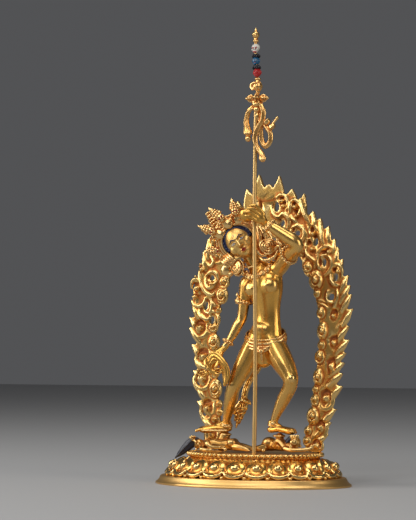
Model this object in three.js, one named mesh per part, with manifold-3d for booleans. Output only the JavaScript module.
// A gilt bronze Vajrayogini: a striding figure with a raised skull cup, standing on two lying figures
// on an oval lotus base, with a tall staff in front and a flame aureole behind.
// Millimetres, +Z up, the front of the base towards -Y, the origin at the centre of its underside.
import * as THREE from "three";
import { mergeVertices } from "three/addons/utils/BufferGeometryUtils.js";
import Module from "manifold-3d";

const wasm = await Module();
wasm.setup();

// Driving dimensions
const GAP = 0.3; // clearance between pieces that rest against each other
const BASE_HALF_LENGTH = 80.7;
const BASE_DEPTH_RATIO = 0.63; // half depth over half length of the oval
const BASE_TOP = 24.5;
const PETALS = 24;
const PETAL_PHASE = 0.75; // share of a petal's pitch by which the row is turned
const SOLE = 40; // height of the soles above the ground
const STAFF_TOP = 353;
const STAFF_RADIUS = 1.75;
const STAFF_Y = -20;
const AUREOLE_Y = 18.5; // where the aureole's middle plane meets the base
const AUREOLE_LEAN = 0.085; // how far it leans back for each millimetre of height

const GOLD = new THREE.MeshStandardMaterial({ color: 0xd9a441, metalness: 1, roughness: 0.25 });
const PALE_GOLD = new THREE.MeshStandardMaterial({ color: 0xd8ab5c, metalness: 1, roughness: 0.4 });
const BASE_GOLD = new THREE.MeshStandardMaterial({ color: 0xd39a3c, metalness: 1, roughness: 0.3 });

const vec = (x, y, z) => new THREE.Vector3(x, y, z);
const mix = THREE.MathUtils.lerp;

// Solids are joined and cut as manifolds, and become geometry at the end.
function solid(geometry, matrix = new THREE.Matrix4()) {
  const bare = new THREE.BufferGeometry();
  const flat = geometry.index ? geometry.toNonIndexed() : geometry;
  bare.setAttribute("position", flat.getAttribute("position").clone());
  bare.applyMatrix4(matrix);
  const merged = mergeVertices(bare, 1e-3);
  return new wasm.Manifold(
    new wasm.Mesh({
      numProp: 3,
      vertProperties: merged.attributes.position.array,
      triVerts: new Uint32Array(merged.index.array),
    }),
  );
}

// Fills any hollow shut in between joined solids, and drops crumbs left by a cut.
const CRUMB = 2; // mm3
const filled = (piece) =>
  piece.decompose().filter((shell) => shell.volume() > CRUMB).reduce((whole, shell) => whole.add(shell));

const join = (solids) => filled(solids.reduce((whole, piece) => whole.add(piece)));

function meshOf(name, manifold, material) {
  const made = manifold.getMesh();
  const geometry = new THREE.BufferGeometry();
  geometry.setAttribute("position", new THREE.BufferAttribute(new Float32Array(made.vertProperties), 3));
  geometry.setIndex(new THREE.BufferAttribute(new Uint32Array(made.triVerts), 1));
  geometry.computeVertexNormals();
  const mesh = new THREE.Mesh(geometry, material);
  mesh.name = name;
  return mesh;
}

// A closed skin over rings of equally many points, with a flat fan on each end.
function skin(rings) {
  const sides = rings[0].length;
  const points = rings.flat();
  const faces = [];
  for (let r = 0; r < rings.length - 1; r++) {
    for (let s = 0; s < sides; s++) {
      const a = r * sides + s;
      const b = r * sides + ((s + 1) % sides);
      faces.push(a, b, b + sides, a, b + sides, a + sides);
    }
  }
  for (const [ring, turned] of [[0, true], [rings.length - 1, false]]) {
    const centre = rings[ring].reduce((sum, p) => sum.add(p), vec(0, 0, 0)).divideScalar(sides);
    const tip = points.push(centre) - 1;
    for (let s = 0; s < sides; s++) {
      const a = ring * sides + s;
      const b = ring * sides + ((s + 1) % sides);
      faces.push(...(turned ? [b, a, tip] : [a, b, tip]));
    }
  }
  const geometry = new THREE.BufferGeometry().setFromPoints(points);
  geometry.setIndex(faces);
  return geometry;
}

const curveThrough = (points) => new THREE.CatmullRomCurve3(points, false, "centripetal");

// A limb through stations of [x, y, z, half width, half depth]. The width lies along "across".
function limb(stations, { sides, steps, across = vec(1, 0, 0), round = 0.6 }) {
  const path = curveThrough(stations.map(([x, y, z]) => vec(x, y, z)));
  const sizes = curveThrough(stations.map(([, , , w, d]) => vec(w, d, 0)));
  const rings = [];
  const ringAt = (t, shrink, push) => {
    const tangent = path.getTangent(t).normalize();
    const centre = path.getPoint(t).addScaledVector(tangent, push);
    const size = sizes.getPoint(t).multiplyScalar(shrink);
    const side = across.clone().addScaledVector(tangent, -across.dot(tangent)).normalize();
    const front = new THREE.Vector3().crossVectors(tangent, side);
    const ring = [];
    for (let s = 0; s < sides; s++) {
      const angle = (s / sides) * 2 * Math.PI;
      ring.push(
        centre.clone()
          .addScaledVector(side, Math.cos(angle) * size.x)
          .addScaledVector(front, Math.sin(angle) * size.y),
      );
    }
    rings.push(ring);
  };
  const endDepth = (t) => Math.min(sizes.getPoint(t).x, sizes.getPoint(t).y) * round;
  ringAt(0, 0.45, -endDepth(0));
  for (let i = 0; i <= steps; i++) ringAt(i / steps, 1, 0);
  ringAt(1, 0.45, endDepth(1));
  return solid(skin(rings));
}

const rod = (points, radii, options) => {
  const radiusAt = (i) => (Array.isArray(radii) ? radii[i] : radii);
  return limb(points.map((p, i) => [...p, radiusAt(i), radiusAt(i)]), options);
};

// An ellipsoid of the given half sizes along the axes of "basis".
function ball(centre, sizes, { basis = new THREE.Matrix4(), around = 8, up = 5 } = {}) {
  const matrix = new THREE.Matrix4().makeTranslation(...centre).multiply(basis)
    .multiply(new THREE.Matrix4().makeScale(...sizes))
    .multiply(new THREE.Matrix4().makeRotationX(Math.PI / 2));
  return solid(new THREE.SphereGeometry(1, around, up), matrix);
}

// A round plate across "axis".
function discAt(centre, axis, radius, thickness) {
  const turn = new THREE.Quaternion().setFromUnitVectors(vec(0, 1, 0), axis.clone().normalize());
  const matrix = new THREE.Matrix4().compose(centre, turn, vec(1, 1, 1));
  return solid(new THREE.CylinderGeometry(radius, radius * 0.92, thickness, 8), matrix);
}

// A ring of round section, in the plane whose normal is "normal", stretched from front to back.
function ring(centre, normal, radius, thickness, { stretch, around, sides }) {
  const n = normal.clone().normalize();
  const x = vec(1, 0, 0).addScaledVector(n, -n.x).normalize();
  const y = new THREE.Vector3().crossVectors(n, x);
  const matrix = new THREE.Matrix4().makeBasis(x, y.multiplyScalar(stretch), n).setPosition(...centre);
  return solid(new THREE.TorusGeometry(radius, thickness, sides, around), matrix);
}

// Lotus base: one casting from the plain flange at the foot to the beaded rim of the top.
const BASE_PROFILE = [
  // height, half length, share of the petals' relief, share of the set-back of the top
  [0, BASE_HALF_LENGTH, 0, 0],
  [2.6, 78.4, 0, 0],
  [6.2, 76.6, 0, 0],
  [6.6, 73.2, 0, 0],
  [7.4, 71.8, 0.4, 0],
  [9.4, 73, 1, 0.05],
  [11.8, 70.4, 0.5, 0.1],
  [14.6, 70.2, 1, 0.25],
  [17.4, 65.6, 1, 0.6],
  [19.3, 58, 0.3, 0.9],
  [20.6, 54, 0, 1],
  [23.2, 55.6, 0, 1],
  [BASE_TOP, 54.6, 0, 1],
];
const BASE_SETBACK = 4.4; // the top sits this far behind the middle of the foot
const PETAL_RELIEF = 3.6;
const SAMPLES = 3; // points to a petal

const ovalPoint = (angle, halfLength, z, back = 0) =>
  vec(
    Math.cos(angle) * halfLength,
    Math.sin(angle) * halfLength * BASE_DEPTH_RATIO + back * BASE_SETBACK,
    z,
  );

function lotusBase() {
  const around = PETALS * SAMPLES;
  const rings = BASE_PROFILE.map(([z, halfLength, relief, back], level) => {
    const ringPoints = [];
    for (let s = 0; s < around; s++) {
      const place = s / SAMPLES + PETAL_PHASE; // in petals
      const lobe = Math.cos(2 * Math.PI * (place + (z < 11 ? 0.5 : 0)));
      const bead = level === BASE_PROFILE.length - 2 ? (s % 2 ? 0.35 : -0.35) : 0;
      const bulge = halfLength - relief * PETAL_RELIEF * (0.5 - 0.5 * lobe) + bead;
      ringPoints.push(ovalPoint((s / around) * 2 * Math.PI, bulge, z, back));
    }
    return ringPoints;
  });
  return solid(skin(rings));
}

// Frame of the head: it leans over to the viewer's left, and the face looks to the front.
const HEAD = vec(-8.4, -6, 188.4);
const HEAD_ROLL = (38 * Math.PI) / 180;
const HEAD_TURN = (18 * Math.PI) / 180; // of the face, from straight ahead to the viewer's right
const faceSide = vec(Math.cos(HEAD_TURN), Math.sin(HEAD_TURN), 0);
const faceFront = vec(Math.sin(HEAD_TURN), -Math.cos(HEAD_TURN), 0);
const headUp = vec(0, 0, Math.cos(HEAD_ROLL)).addScaledVector(faceSide, -Math.sin(HEAD_ROLL));
const headSide = vec(0, 0, Math.sin(HEAD_ROLL)).addScaledVector(faceSide, Math.cos(HEAD_ROLL));
const headBasis = new THREE.Matrix4().makeBasis(headSide, faceFront.clone().negate(), headUp);
const headPoint = (side, front, up) =>
  HEAD.clone().addScaledVector(headSide, side).addScaledVector(faceFront, front).addScaledVector(headUp, up);
const at = (v) => [v.x, v.y, v.z];

function head() {
  const parts = [
    ball(HEAD, [10.6, 12, 13.6], { basis: headBasis, around: 8, up: 6 }),
    ball(headPoint(0, 3.4, -6), [7, 8, 8], { basis: headBasis, around: 6, up: 4 }),
    ball(headPoint(0, 11.6, -2.2), [1.5, 2.6, 2.8], { basis: headBasis, around: 6, up: 4 }), // nose
    ball(headPoint(0, -4, 3), [13, 12.5, 14.5], { basis: headBasis, around: 7, up: 4 }), // hair
    ball(headPoint(-1, -9, 15.5), [7.5, 7.5, 9], { basis: headBasis, around: 5, up: 3 }), // topknot
  ];
  // the crown's band, round the face from ear to ear
  const band = [];
  for (let i = 0; i <= 12; i++) {
    const turn = mix(-118, 118, i / 12) * (Math.PI / 180);
    band.push(at(headPoint(Math.sin(turn) * 14.6, 3 - Math.abs(turn) * 1.6, Math.cos(turn) * 15)));
  }
  parts.push(rod(band, 2.1, { steps: 7, sides: 3, across: faceFront }));
  // five leaves, each a skull under a pointed jewel
  for (const [side, front, up, lean] of [
    [0, 5.8, 20.5, 0],
    [12.4, 3.5, 17.6, 34],
    [-12.4, 3.5, 17.6, -34],
    [17.6, -3, 4.6, 78],
    [-17.6, -3, 4.6, -78],
  ]) {
    const tilt = (lean * Math.PI) / 180;
    const outward = (reach) =>
      at(headPoint(side + Math.sin(tilt) * reach, front, up + Math.cos(tilt) * reach));
    const across = headSide.clone().multiplyScalar(Math.cos(tilt)).addScaledVector(headUp, -Math.sin(tilt));
    parts.push(
      limb(
        [
          [...outward(-6.4), 3.2, 2.6],
          [...outward(0), 3.9, 2.6],
          [...outward(3.4), 3.6, 2.8],
          [...outward(6), 1.8, 1.5],
          [...outward(8), 2.5, 1.9],
          [...outward(13), 0.6, 0.6],
        ],
        { steps: 3, sides: 4, across },
      ),
    );
  }
  // ears, each with a great ring-shaped disc
  for (const turn of [-1, 1]) {
    parts.push(ball(headPoint(turn * 12, -1, -4), [2.2, 3, 5.4], { basis: headBasis, around: 5, up: 3 }));
    const disc = headPoint(turn * 14.6, 3, -14);
    const axis = faceFront.clone().addScaledVector(headSide, turn * 0.35);
    parts.push(discAt(disc, axis, 6.8, 3));
    parts.push(ball(disc, [3.6, 3.4, 3.6], { basis: headBasis, around: 5, up: 2 }));
    parts.push(rod([at(headPoint(turn * 11, -1, -6)), at(disc)], [2.8, 2.6], { steps: 1, sides: 4 }));
  }
  // hair falling down the back
  parts.push(
    limb(
      [
        [...at(headPoint(0, -9, 2)), 11, 7],
        [-2, 11, 172, 14, 5],
        [6, 12.5, 155, 14.5, 4.2],
        [10, 12.5, 138, 12.5, 3.6],
        [12, 13.5, 124, 8, 2.8],
      ],
      { steps: 6, sides: 6 },
    ),
  );
  return join(parts);
}

// Four fingers laid side by side from the knuckles over a held thing, and a thumb against them.
function grip(knuckles, run, over, tuck, width, thickness) {
  const fingers = [];
  for (let i = 0; i < 4; i++) {
    const start = knuckles.clone().addScaledVector(run, (i - 1.5) * width);
    fingers.push(
      rod(
        [at(start), at(start.clone().add(over)), at(start.clone().add(over).add(tuck))],
        [thickness, thickness * 0.92, thickness * 0.7],
        { steps: 2, sides: 4, across: run },
      ),
    );
  }
  return join(fingers);
}

function figure() {
  const body = join([
    // trunk, from the fork of the legs to the neck
    limb(
      [
        [9.5, 0, 99, 10, 8],
        [10.5, 0, 107, 15.2, 10.6],
        [11.5, 0, 116, 15.6, 10.6],
        [12.8, -0.5, 123, 12, 8.8],
        [13.4, -1, 130, 10.6, 7.8],
        [12.6, -1, 139, 12, 8.6],
        [11.6, 0, 149, 15, 9.6],
        [10.4, 0, 158, 16, 9.4],
        [9.2, 1, 165, 15.2, 8],
        [5, 0.5, 171, 7.5, 6.2],
        [-0.6, -1.5, 177, 5, 5],
        [-5, -3, 182, 5, 5],
      ],
      { steps: 10, sides: 8 },
    ),
    // breasts
    ball([3.4, -8, 151.5], [6, 5.2, 5.8], { around: 8, up: 5 }),
    ball([16.6, -8, 155], [6, 5.2, 5.8], { around: 8, up: 5 }),
    // the figure's right arm, hanging to the viewer's left, down to the wrist and the palm
    limb(
      [
        [4, 0, 161, 7.5, 6.5],
        [-4, 0, 157, 6.2, 6.2],
        [-6.4, -0.4, 144.6, 4.9, 5.2],
        [-6.9, -0.6, 141.6, 6.2, 6.4],
        [-7.3, -0.8, 138.6, 4.6, 4.8],
        [-8.6, -1, 129.5, 4.1, 4.3],
        [-12.5, -4, 120, 4.4, 4.4],
        [-15.6, -6.6, 113.4, 3.2, 3.2],
        [-17, -7.8, 110.2, 4.5, 4.5],
        [-18.6, -8.8, 107.4, 2.9, 2.6],
        [-26.5, -12, 97.3, 4.4, 2.6],
      ],
      { steps: 9, sides: 6 },
    ),
    // the figure's left arm, raised to the viewer's right and back to the hand
    limb(
      [
        [15, 1, 162, 7.5, 7],
        [24, 0, 167.5, 6.4, 6.4],
        [31, -4.4, 171.8, 5.4, 5.4],
        [33.6, -6, 173.8, 7, 7],
        [36.4, -7.6, 175.6, 5.2, 5.2],
        [45.4, -13, 180.5, 4.4, 4.6],
        [42, -14.6, 186.5, 5, 5],
        [33, -16.2, 192.8, 4.8, 4.8],
        [24.8, -18, 198.2, 3.3, 3.3],
        [22.4, -18.6, 199.8, 4.6, 4.6],
        [19.4, -19.8, 202, 3, 2.8],
        [13, -23.4, 207.2, 4.6, 3],
      ],
      { steps: 11, sides: 6, across: vec(0.3, 0, 1) },
    ),
    // the figure's right leg, stretched out, and foot
    limb(
      [
        [5, 0, 112, 10, 9],
        [0.5, -1, 104, 9.6, 9.2],
        [-5.6, -5.5, 90, 8, 8.4],
        [-11, -10, 76.4, 5.7, 6],
        [-15.4, -7.4, 67, 5.5, 6],
        [-20.4, -1.6, 56, 3.9, 4.3],
        [-23, 1.8, 49.4, 3.2, 3.4],
        [-23.2, 2.2, 46.6, 4.9, 4.9],
        [-23.4, 2.6, 43, 3.6, 3.4],
      ],
      { steps: 9, sides: 6 },
    ),
    limb(
      [
        [-19.6, 3.4, 43, 3.2, 2.8],
        [-27, 1.4, 43.6, 4, 3.4],
        [-36, -1.4, 42.4, 4.8, 2.3],
        [-45.4, -4, 41.6, 4.4, 1.5],
      ],
      { steps: 4, sides: 6, across: vec(0.25, 1, 0) },
    ),
    // the figure's left leg, bent, and foot
    limb(
      [
        [15, 0, 113, 10, 9],
        [20.4, -1, 105, 9.6, 9],
        [29, -4.6, 94, 8.2, 8.2],
        [37.6, -8, 83, 6, 6.3],
        [34.6, -7.4, 76, 5.6, 6],
        [28.6, -5.6, 66, 5.2, 5.8],
        [22.6, -4.4, 55, 3.8, 4.1],
        [20.4, -4, 50.4, 3.2, 3.3],
        [20.1, -4, 47.4, 4.9, 4.9],
        [19.6, -4, 43.6, 3.6, 3.4],
      ],
      { steps: 10, sides: 6 },
    ),
    limb(
      [
        [13.4, -3.4, 43.6, 3, 2.8],
        [21, -4, 44, 4, 3.4],
        [31, -5.8, 42.6, 4.6, 2.3],
        [40.6, -7.4, 41.7, 4.2, 1.5],
      ],
      { steps: 4, sides: 6, across: vec(0.1, 1, 0) },
    ),
  ]).simplify(1.3);
  const parts = [
    body,
    // belt: ridged bands dipping to the front
    ring([11.3, 0, 112.4], vec(0.06, -0.36, 1), 16, 2, { stretch: 0.72, around: 12, sides: 4 }),
    ball([13.8, -11, 107], [3, 2, 4], { around: 6, up: 4 }),
    // necklace over the collar bones
    rod(
      [
        [-3, -5.6, 165.4],
        [2, -8.2, 162.6],
        [9, -8, 163.6],
        [16, -6, 167],
        [18, -2, 172],
      ],
      1.5,
      { steps: 5, sides: 3 },
    ),
    // scarf end hanging from the belt behind the stretched leg, fanned at its foot
    limb(
      [
        [8, 7, 108, 4, 2.4],
        [2.6, 8, 92, 3.2, 2],
        [-6.5, 7, 80.6, 3, 1.8],
        [-10.4, 6.2, 66, 3.4, 2],
        [-10.6, 6, 58, 6.2, 2.2],
        [-12, 6, 49, 5, 1.8],
        [-16.4, 6, 42, 1, 0.8],
      ],
      { steps: 6, sides: 6 },
    ),
    // fingers of the lowered hand round the knife, and of the raised hand round the skull cup
    grip(vec(-27.6, -13.6, 96.4), vec(-0.42, 0.1, 0.9), vec(0.4, -5, -4), vec(3.4, -1.8, -3.4), 3.1, 1.8),
    grip(vec(17.6, -24, 206.6), vec(0.4, 0.2, 0.9), vec(-3.6, -2.4, 3.6), vec(-4.4, -1.4, 0.6), 2.8, 1.6),
    rod([[14, -24, 203.6], [9, -26.6, 201.8], [5.6, -27, 203.4]], [2, 1.8, 1.4], { steps: 3, sides: 4 }),
    // skull cup: a smooth bowl held to the viewer's left of the raised hand
    ball([6.6, -24.2, 208.8], [6.5, 6.3, 5.8], { around: 8, up: 5 }),
    head(),
  ];
  return join(parts);
}

// Curved knife: a crescent blade under a short thunderbolt handle.
function curvedKnife(extra = 0) {
  const blade = [];
  for (let i = 0; i <= 6; i++) {
    const turn = mix(100, -62, i / 6) * (Math.PI / 180);
    const breadth = 0.8 + 2.6 * Math.sin((Math.PI * (i + 0.4)) / 6.8);
    blade.push([
      -27.5 + Math.cos(turn) * 13,
      -17.6,
      90.6 + Math.sin(turn) * 12.6,
      breadth + extra,
      1 + extra,
    ]);
  }
  return join([
    limb(blade, { steps: 10, sides: 6, across: vec(0.8, 0, 0.6) }),
    rod(
      [
        [-38.4, -17.6, 84.6],
        [-36, -17.6, 85.6],
        [-33.4, -17.6, 86.4],
        [-30, -17.6, 87.4],
        [-26, -17.6, 88.6],
        [-22, -17.6, 90],
        [-16, -17.6, 91.4],
      ],
      [1, 2.8, 1.4, 2, 1.5, 2.4, 1.4].map((radius) => radius + extra),
      { steps: 10, sides: 6 },
    ),
  ]);
}

// Staff: a long round rod, then a knot of crossed thunderbolts, a vase, three heads and a finial.
const STAFF_HEAD = [
  // radius, height
  [0, 290], [2, 291], [2.2, 294.6], [6.2, 296.6], [6.4, 298.4], [2.2, 300.6], [3.6, 302.6],
  [4.3, 306.6], [2.4, 310.6], [2.8, 313.4], [3.7, 317.6], [2.9, 321.4], [3.7, 325.4],
  [2.7, 329.6], [2.6, 332.4], [3.6, 336.4], [2.2, 340.4], [2.8, 342.8], [1.6, 344.4],
  [2.5, 346.8], [1, 349.6], [0, STAFF_TOP],
];

function staff() {
  const shaft = [[10.8, BASE_TOP + 1.4], [11.9, 100], [11, 200], [12, 270], [12.1, 295]];
  const x = 12.1;
  const head = new THREE.LatheGeometry(STAFF_HEAD.map(([r, z]) => new THREE.Vector2(r, z)), 8);
  const ribbon = (points, radii) =>
    rod(points.map(([dx, z]) => [x + dx, STAFF_Y, z]), radii, { steps: points.length + 1, sides: 4 });
  const upright = new THREE.Matrix4().makeTranslation(x, STAFF_Y, 0)
    .multiply(new THREE.Matrix4().makeRotationX(Math.PI / 2));
  return join([
    rod(shaft.map(([dx, z]) => [dx, STAFF_Y, z]), STAFF_RADIUS, { steps: 6, sides: 8 }),
    solid(head, upright),
    // ribbons looped below the crossed thunderbolts, and a small drum tied among them
    ribbon([[-1, 296], [-6, 291], [-7.2, 280], [-5.4, 268], [-7, 262]], [1.2, 1.3, 1.3, 1.6, 1]),
    ribbon([[0, 294], [8, 289], [10, 278], [4, 268], [0.6, 260]], [1.2, 1.4, 1.4, 1.4, 1.1]),
    ribbon([[0, 291], [3, 283], [10, 273], [9.4, 263], [4, 253]], [1.2, 1.3, 1.4, 1.8, 1]),
    ribbon([[9, 279], [15, 276.6], [15, 285.6]], [1.3, 2.8, 1.6]),
  ]);
}

// Aureole: a flat pierced arch of flames. Its middle line runs from the viewer's left foot over the top.
const AUREOLE_THICK = 5;
const FLAMES = 28;
const AUREOLE_HALF = [
  // half width of the arch, height, half width of the band
  [41.6, 24.8, 7.4],
  [46, 50, 9],
  [51.4, 81, 11],
  [55, 111, 12.4],
  [54.4, 134, 13.4],
  [48.4, 159, 14.6],
  [39, 180, 15.4],
  [24, 198, 17],
  [0, 208, 18.6],
];
const AUREOLE_LINE = [
  ...AUREOLE_HALF.map(([x, z, w]) => [-x, z, w]),
  ...AUREOLE_HALF.slice(0, -1).reverse(),
];
const aureoleLine = curveThrough(AUREOLE_LINE.map(([x, z]) => vec(x, z, 0)));
const aureoleWidth = curveThrough(AUREOLE_LINE.map(([, , w]) => vec(w, 0, 0)));

// Carving of each leg: climb runs from 0 at the foot to 1 at the top,
// off from -1 at the opening to 1 outside.
const RIGHT_MOTIFS = {
  discs: [0.141, 0.293, 0.472, 0.662],
  knobs: [0.06, 0.215, 0.375, 0.56],
  scrolls: [
    [0.045, 0.45], [0.115, 0.3], [0.209, 0.3], [0.335, 0.3], [0.426, 0.28], [0.75, 0.05], [0.925, 0.9],
  ],
  holes: [
    [0.98, 0.5], [0.94, -0.04], [0.864, 0], [0.791, 0.4], [0.712, 0.35], [0.655, 0.6], [0.575, 0.25],
  ],
};
const LEFT_MOTIFS = {
  discs: [0.085, 0.232, 0.413, 0.614],
  knobs: [0.15, 0.31, 0.5, 0.69],
  scrolls: [[0.06, 0.4], [0.171, 0.1], [0.27, 0], [0.367, 0.2], [0.467, 0.3], [0.61, 0.7], [0.772, 0.5]],
  holes: [[0.664, 0.05], [0.554, -0.1], [0.5, -0.45], [0.325, 0.1], [0.84, 0.1]],
};

// A point of the arch's own plane: "along" runs from 0 to 1, "off" from -1 at the opening to 1 outside.
function aureoleAt(along, off) {
  const p = aureoleLine.getPoint(along);
  const t = aureoleLine.getTangent(along).normalize();
  const w = aureoleWidth.getPoint(along).x;
  return { x: p.x - t.y * w * off, z: p.y + t.x * w * off, t, w };
}

function aureole() {
  const outline = [];
  // outer edge: flame after flame, each with a full belly below and its tip drawn upwards
  for (let i = 0; i < FLAMES; i++) {
    const middle = (i + 0.5) / FLAMES;
    const side = middle < 0.5 ? -1 : 1;
    const climb = (more) => middle - side * (more / FLAMES);
    const crest = 1 - Math.min(1, Math.abs(middle - 0.5) / 0.16);
    const rise = mix(i % 2 ? 6.5 : 4, i % 2 ? 19 : 12, Math.max(0, crest));
    const valley = aureoleAt(climb(-0.5), 0.66);
    const belly = aureoleAt(climb(-0.16), 1);
    const root = aureoleAt(climb(0.2), 1);
    const tip = [root.x + side * 2.6 * (1 - crest * 0.6), root.z + rise];
    const flame = [[valley.x, valley.z], [belly.x, belly.z], tip];
    if (i === FLAMES / 2) outline.push([0, aureoleAt(0.5, 0.9).z]);
    outline.push(...(side < 0 ? flame : flame.reverse()));
  }
  // inner edge, back from the viewer's right foot
  const inner = 26;
  for (let i = 0; i <= inner; i++) {
    const along = 1 - i / inner;
    const edge = aureoleAt(along, -0.8);
    outline.push([edge.x, edge.z]);
  }
  const shape = new THREE.Shape(outline.map(([x, z]) => new THREE.Vector2(x, z)));
  const upright = new THREE.Matrix4().makeBasis(vec(1, 0, 0), vec(0, 0, 1), vec(0, -1, 0));
  const slab = (form, depth) => {
    const geometry = new THREE.ExtrudeGeometry(form, { depth, bevelEnabled: false, curveSegments: 5 });
    return solid(geometry, upright.clone().multiply(new THREE.Matrix4().makeTranslation(0, 0, -depth / 2)));
  };
  let body = slab(shape, AUREOLE_THICK);
  const front = -AUREOLE_THICK / 2;
  const place = (side, climb, off) => aureoleAt(side < 0 ? climb / 2 : 1 - climb / 2, off);
  for (const side of [-1, 1]) {
    const layout = side < 0 ? LEFT_MOTIFS : RIGHT_MOTIFS;
    // spiral discs along the opening, each with a ball in its middle, and knobs between them
    for (const climb of layout.discs) {
      const disc = place(side, climb, -0.62);
      const plate = new THREE.CylinderGeometry(4.9, 4.4, AUREOLE_THICK + 1.5, 8);
      const bead = new THREE.SphereGeometry(2.6, 5, 2);
      body = body
        .add(solid(plate.translate(disc.x, -1, disc.z)))
        .add(solid(bead.translate(disc.x, front - 1.4, disc.z)));
    }
    for (const climb of layout.knobs) {
      const knob = place(side, climb, -0.8);
      const stud = new THREE.CylinderGeometry(2.7, 2.3, AUREOLE_THICK + 1.2, 6);
      body = body.add(solid(stud.translate(knob.x, -0.8, knob.z)));
    }
    // scrolls that wind in to a ball
    for (const [climb, off] of layout.scrolls) {
      const heart = place(side, climb, off);
      const coil = [];
      for (let i = 0; i <= 5; i++) {
        const turn = mix(-0.4, 4.2, i / 5);
        const radius = mix(5.8, 3.2, i / 5);
        coil.push([heart.x - Math.sin(turn) * radius * side, front, heart.z - Math.cos(turn) * radius]);
      }
      body = body
        .add(rod(coil, [1, 1.8, 2.2, 2.2, 1.9, 1.5], { steps: 3, sides: 3, across: vec(0, 1, 1) }))
        .add(solid(new THREE.SphereGeometry(2.4, 5, 2).translate(heart.x, front - 0.8, heart.z)));
    }
    // piercings
    for (const [climb, off] of layout.holes) {
      const hole = place(side, climb, off);
      const slit = new THREE.CylinderGeometry(1, 1, 20, 6)
        .scale(2.1, 1, 3.3)
        .rotateY(-side * 0.3)
        .translate(hole.x, 0, hole.z);
      body = body.subtract(solid(slit));
    }
  }
  // everything leans back a little, and stands flat on the base
  const lean = new THREE.Matrix4().set(1, 0, 0, 0, 0, 1, AUREOLE_LEAN, AUREOLE_Y, 0, 0, 1, 0, 0, 0, 0, 1);
  const box = solid(new THREE.BoxGeometry(400, 400, 400).translate(0, 0, BASE_TOP + GAP + 200));
  return body.transform(lean.elements).intersect(box);
}

// The two figures underfoot, lying on their fronts with long hair; each carries a sole on its back.
function lyingFigureLeft() {
  return join([
    limb(
      [
        [-40, -6, 29.6, 3.6, 3.6],
        [-33, -5.4, 30.4, 5, 4.2],
        [-24, -4.6, 30.2, 4.4, 4],
        [-15, -3.4, 30, 5.2, 4.4],
        [-8, -3.6, 28.6, 4.2, 3.4],
      ],
      { steps: 5, sides: 6, across: vec(0, 1, 0) },
    ),
    ball([-44.6, -6.6, 31.6], [4.4, 4.2, 4.4], { around: 6, up: 4 }),
    ball([-48, -6.6, 33.6], [2.6, 3.6, 3], { around: 5, up: 3 }),
    // hair that hangs over the rim
    limb(
      [
        [-48, -6.4, 33, 3.6, 2.4],
        [-54, -7, 29.4, 4.2, 2.2],
        [-59.4, -8, 24.4, 2.6, 1.4],
        [-62.6, -8.6, 20.4, 0.8, 0.7],
      ],
      { steps: 4, sides: 5, across: vec(0, 1, 0) },
    ),
    // arms folded before the chest
    rod([[-34, -9, 29.6], [-38, -13, 27.6], [-31, -14.4, 27]], [2.4, 2.2, 1.7], { steps: 3, sides: 4 }),
    rod([[-30, -8.6, 29.6], [-26, -12.6, 27.6], [-19, -13.4, 27]], [2.4, 2.2, 1.7], { steps: 3, sides: 4 }),
    // legs
    rod([[-10, -6, 28.6], [-4, -7.6, 27.6], [1, -9, 27]], [3.4, 2.6, 1.9], { steps: 3, sides: 4 }),
    rod([[-10, -0.6, 28.6], [-4, 2, 27.4], [0.6, 4, 27]], [3.4, 2.6, 1.9], { steps: 3, sides: 4 }),
    // supports under the sole
    rod([[-37.4, -3.4, 30], [-37.8, -2.4, SOLE - GAP]], [2.4, 2.9], { steps: 1, sides: 5 }),
    rod([[-24.6, -2.4, 30], [-23.6, 1.6, SOLE - GAP]], [4, 4], { steps: 1, sides: 6 }),
  ]);
}

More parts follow.
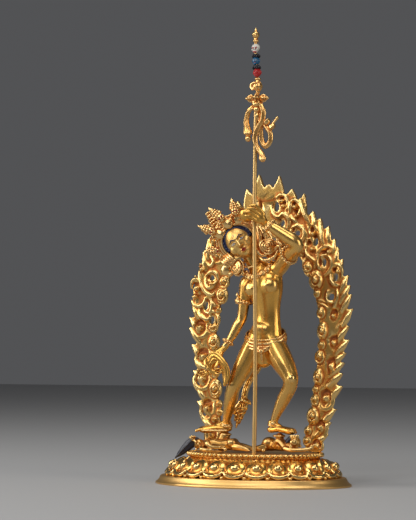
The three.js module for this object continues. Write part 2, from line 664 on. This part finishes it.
function lyingFigureRight() {
  return join([
    limb(
      [
        [10, -2, 28.4, 4.6, 3.4],
        [15, -2.6, 31, 6, 5.4],
        [22, -4, 31.6, 5.2, 5],
        [30, -6, 30.8, 5, 4.4],
        [36, -8, 31, 3.2, 3.2],
      ],
      { steps: 5, sides: 6, across: vec(0, 1, 0) },
    ),
    ball([41, -9, 34], [4.4, 4.2, 4.6], { around: 6, up: 4 }),
    limb(
      [[38, -8, 36.6, 3.6, 3.2], [33, -7.4, 34.6, 3.2, 3], [30, -7.6, 31, 2.4, 2]],
      { steps: 3, sides: 5, across: vec(0, 1, 0) },
    ),
    // arm stretched out along the rim
    rod(
      [[34, -9.6, 29], [43, -13.6, 27.6], [51, -11, 28.4], [55.6, -9.4, 29.8]],
      [2.4, 2, 1.6, 1.3],
      { steps: 4, sides: 4 },
    ),
    rod([[33, -5, 30], [42, -1, 28.4], [49, 1, 27.4]], [2.4, 2, 1.4], { steps: 3, sides: 4 }),
    // drawn-up legs and feet
    rod([[14, -5, 29], [10, -10, 28], [15, -13.6, 27]], [3.4, 2.6, 1.8], { steps: 3, sides: 4 }),
    rod([[13, 0, 29], [8, 3, 27.6], [14, 6.6, 27]], [3.4, 2.6, 1.8], { steps: 3, sides: 4 }),
    // support under the sole
    rod([[25, -4.6, 33], [26, -4.6, SOLE - GAP]], [3.4, 3.8], { steps: 1, sides: 5 }),
  ]);
}

const block = (x0, x1, z0, z1) =>
  solid(new THREE.BoxGeometry(x1 - x0, 400, z1 - z0).translate((x0 + x1) / 2, 0, (z0 + z1) / 2));

// Lying figures rest on the base's top and carry the soles on small flats.
const underfoot = (piece) =>
  piece.subtract(block(-55.5, 60, -50, BASE_TOP + GAP)).subtract(block(-90, 90, SOLE - GAP, 100));

// The standing figure ends at the soles, and is hollowed for the knife's handle and for the staff.
const staffRoom = rod(
  [[11, STAFF_Y, 30], [11.9, STAFF_Y, 100], [11, STAFF_Y, 200], [12, STAFF_Y, 270]],
  STAFF_RADIUS + GAP + 0.15,
  { steps: 8, sides: 10 },
);
const standing = figure()
  .subtract(block(-90, 90, 0, SOLE))
  .subtract(staffRoom)
  .subtract(curvedKnife(GAP + 0.1));

const group = new THREE.Group();
const pieces = [
  ["lotus_base", lotusBase(), BASE_GOLD, 0.9],
  ["trampled_figure_left", underfoot(lyingFigureLeft()), PALE_GOLD, 0.7],
  ["trampled_figure_right", underfoot(lyingFigureRight()), PALE_GOLD, 0.7],
  ["vajrayogini_figure", standing, GOLD, 0.9],
  ["curved_knife", curvedKnife(), GOLD, 0.5],
  ["khatvanga_staff", staff(), GOLD, 0.6],
  ["flame_mandorla", aureole(), PALE_GOLD, 0.7],
];
for (const [name, manifold, material, fineness] of pieces) {
  group.add(meshOf(name, filled(manifold.simplify(fineness)), material));
}
export default group;
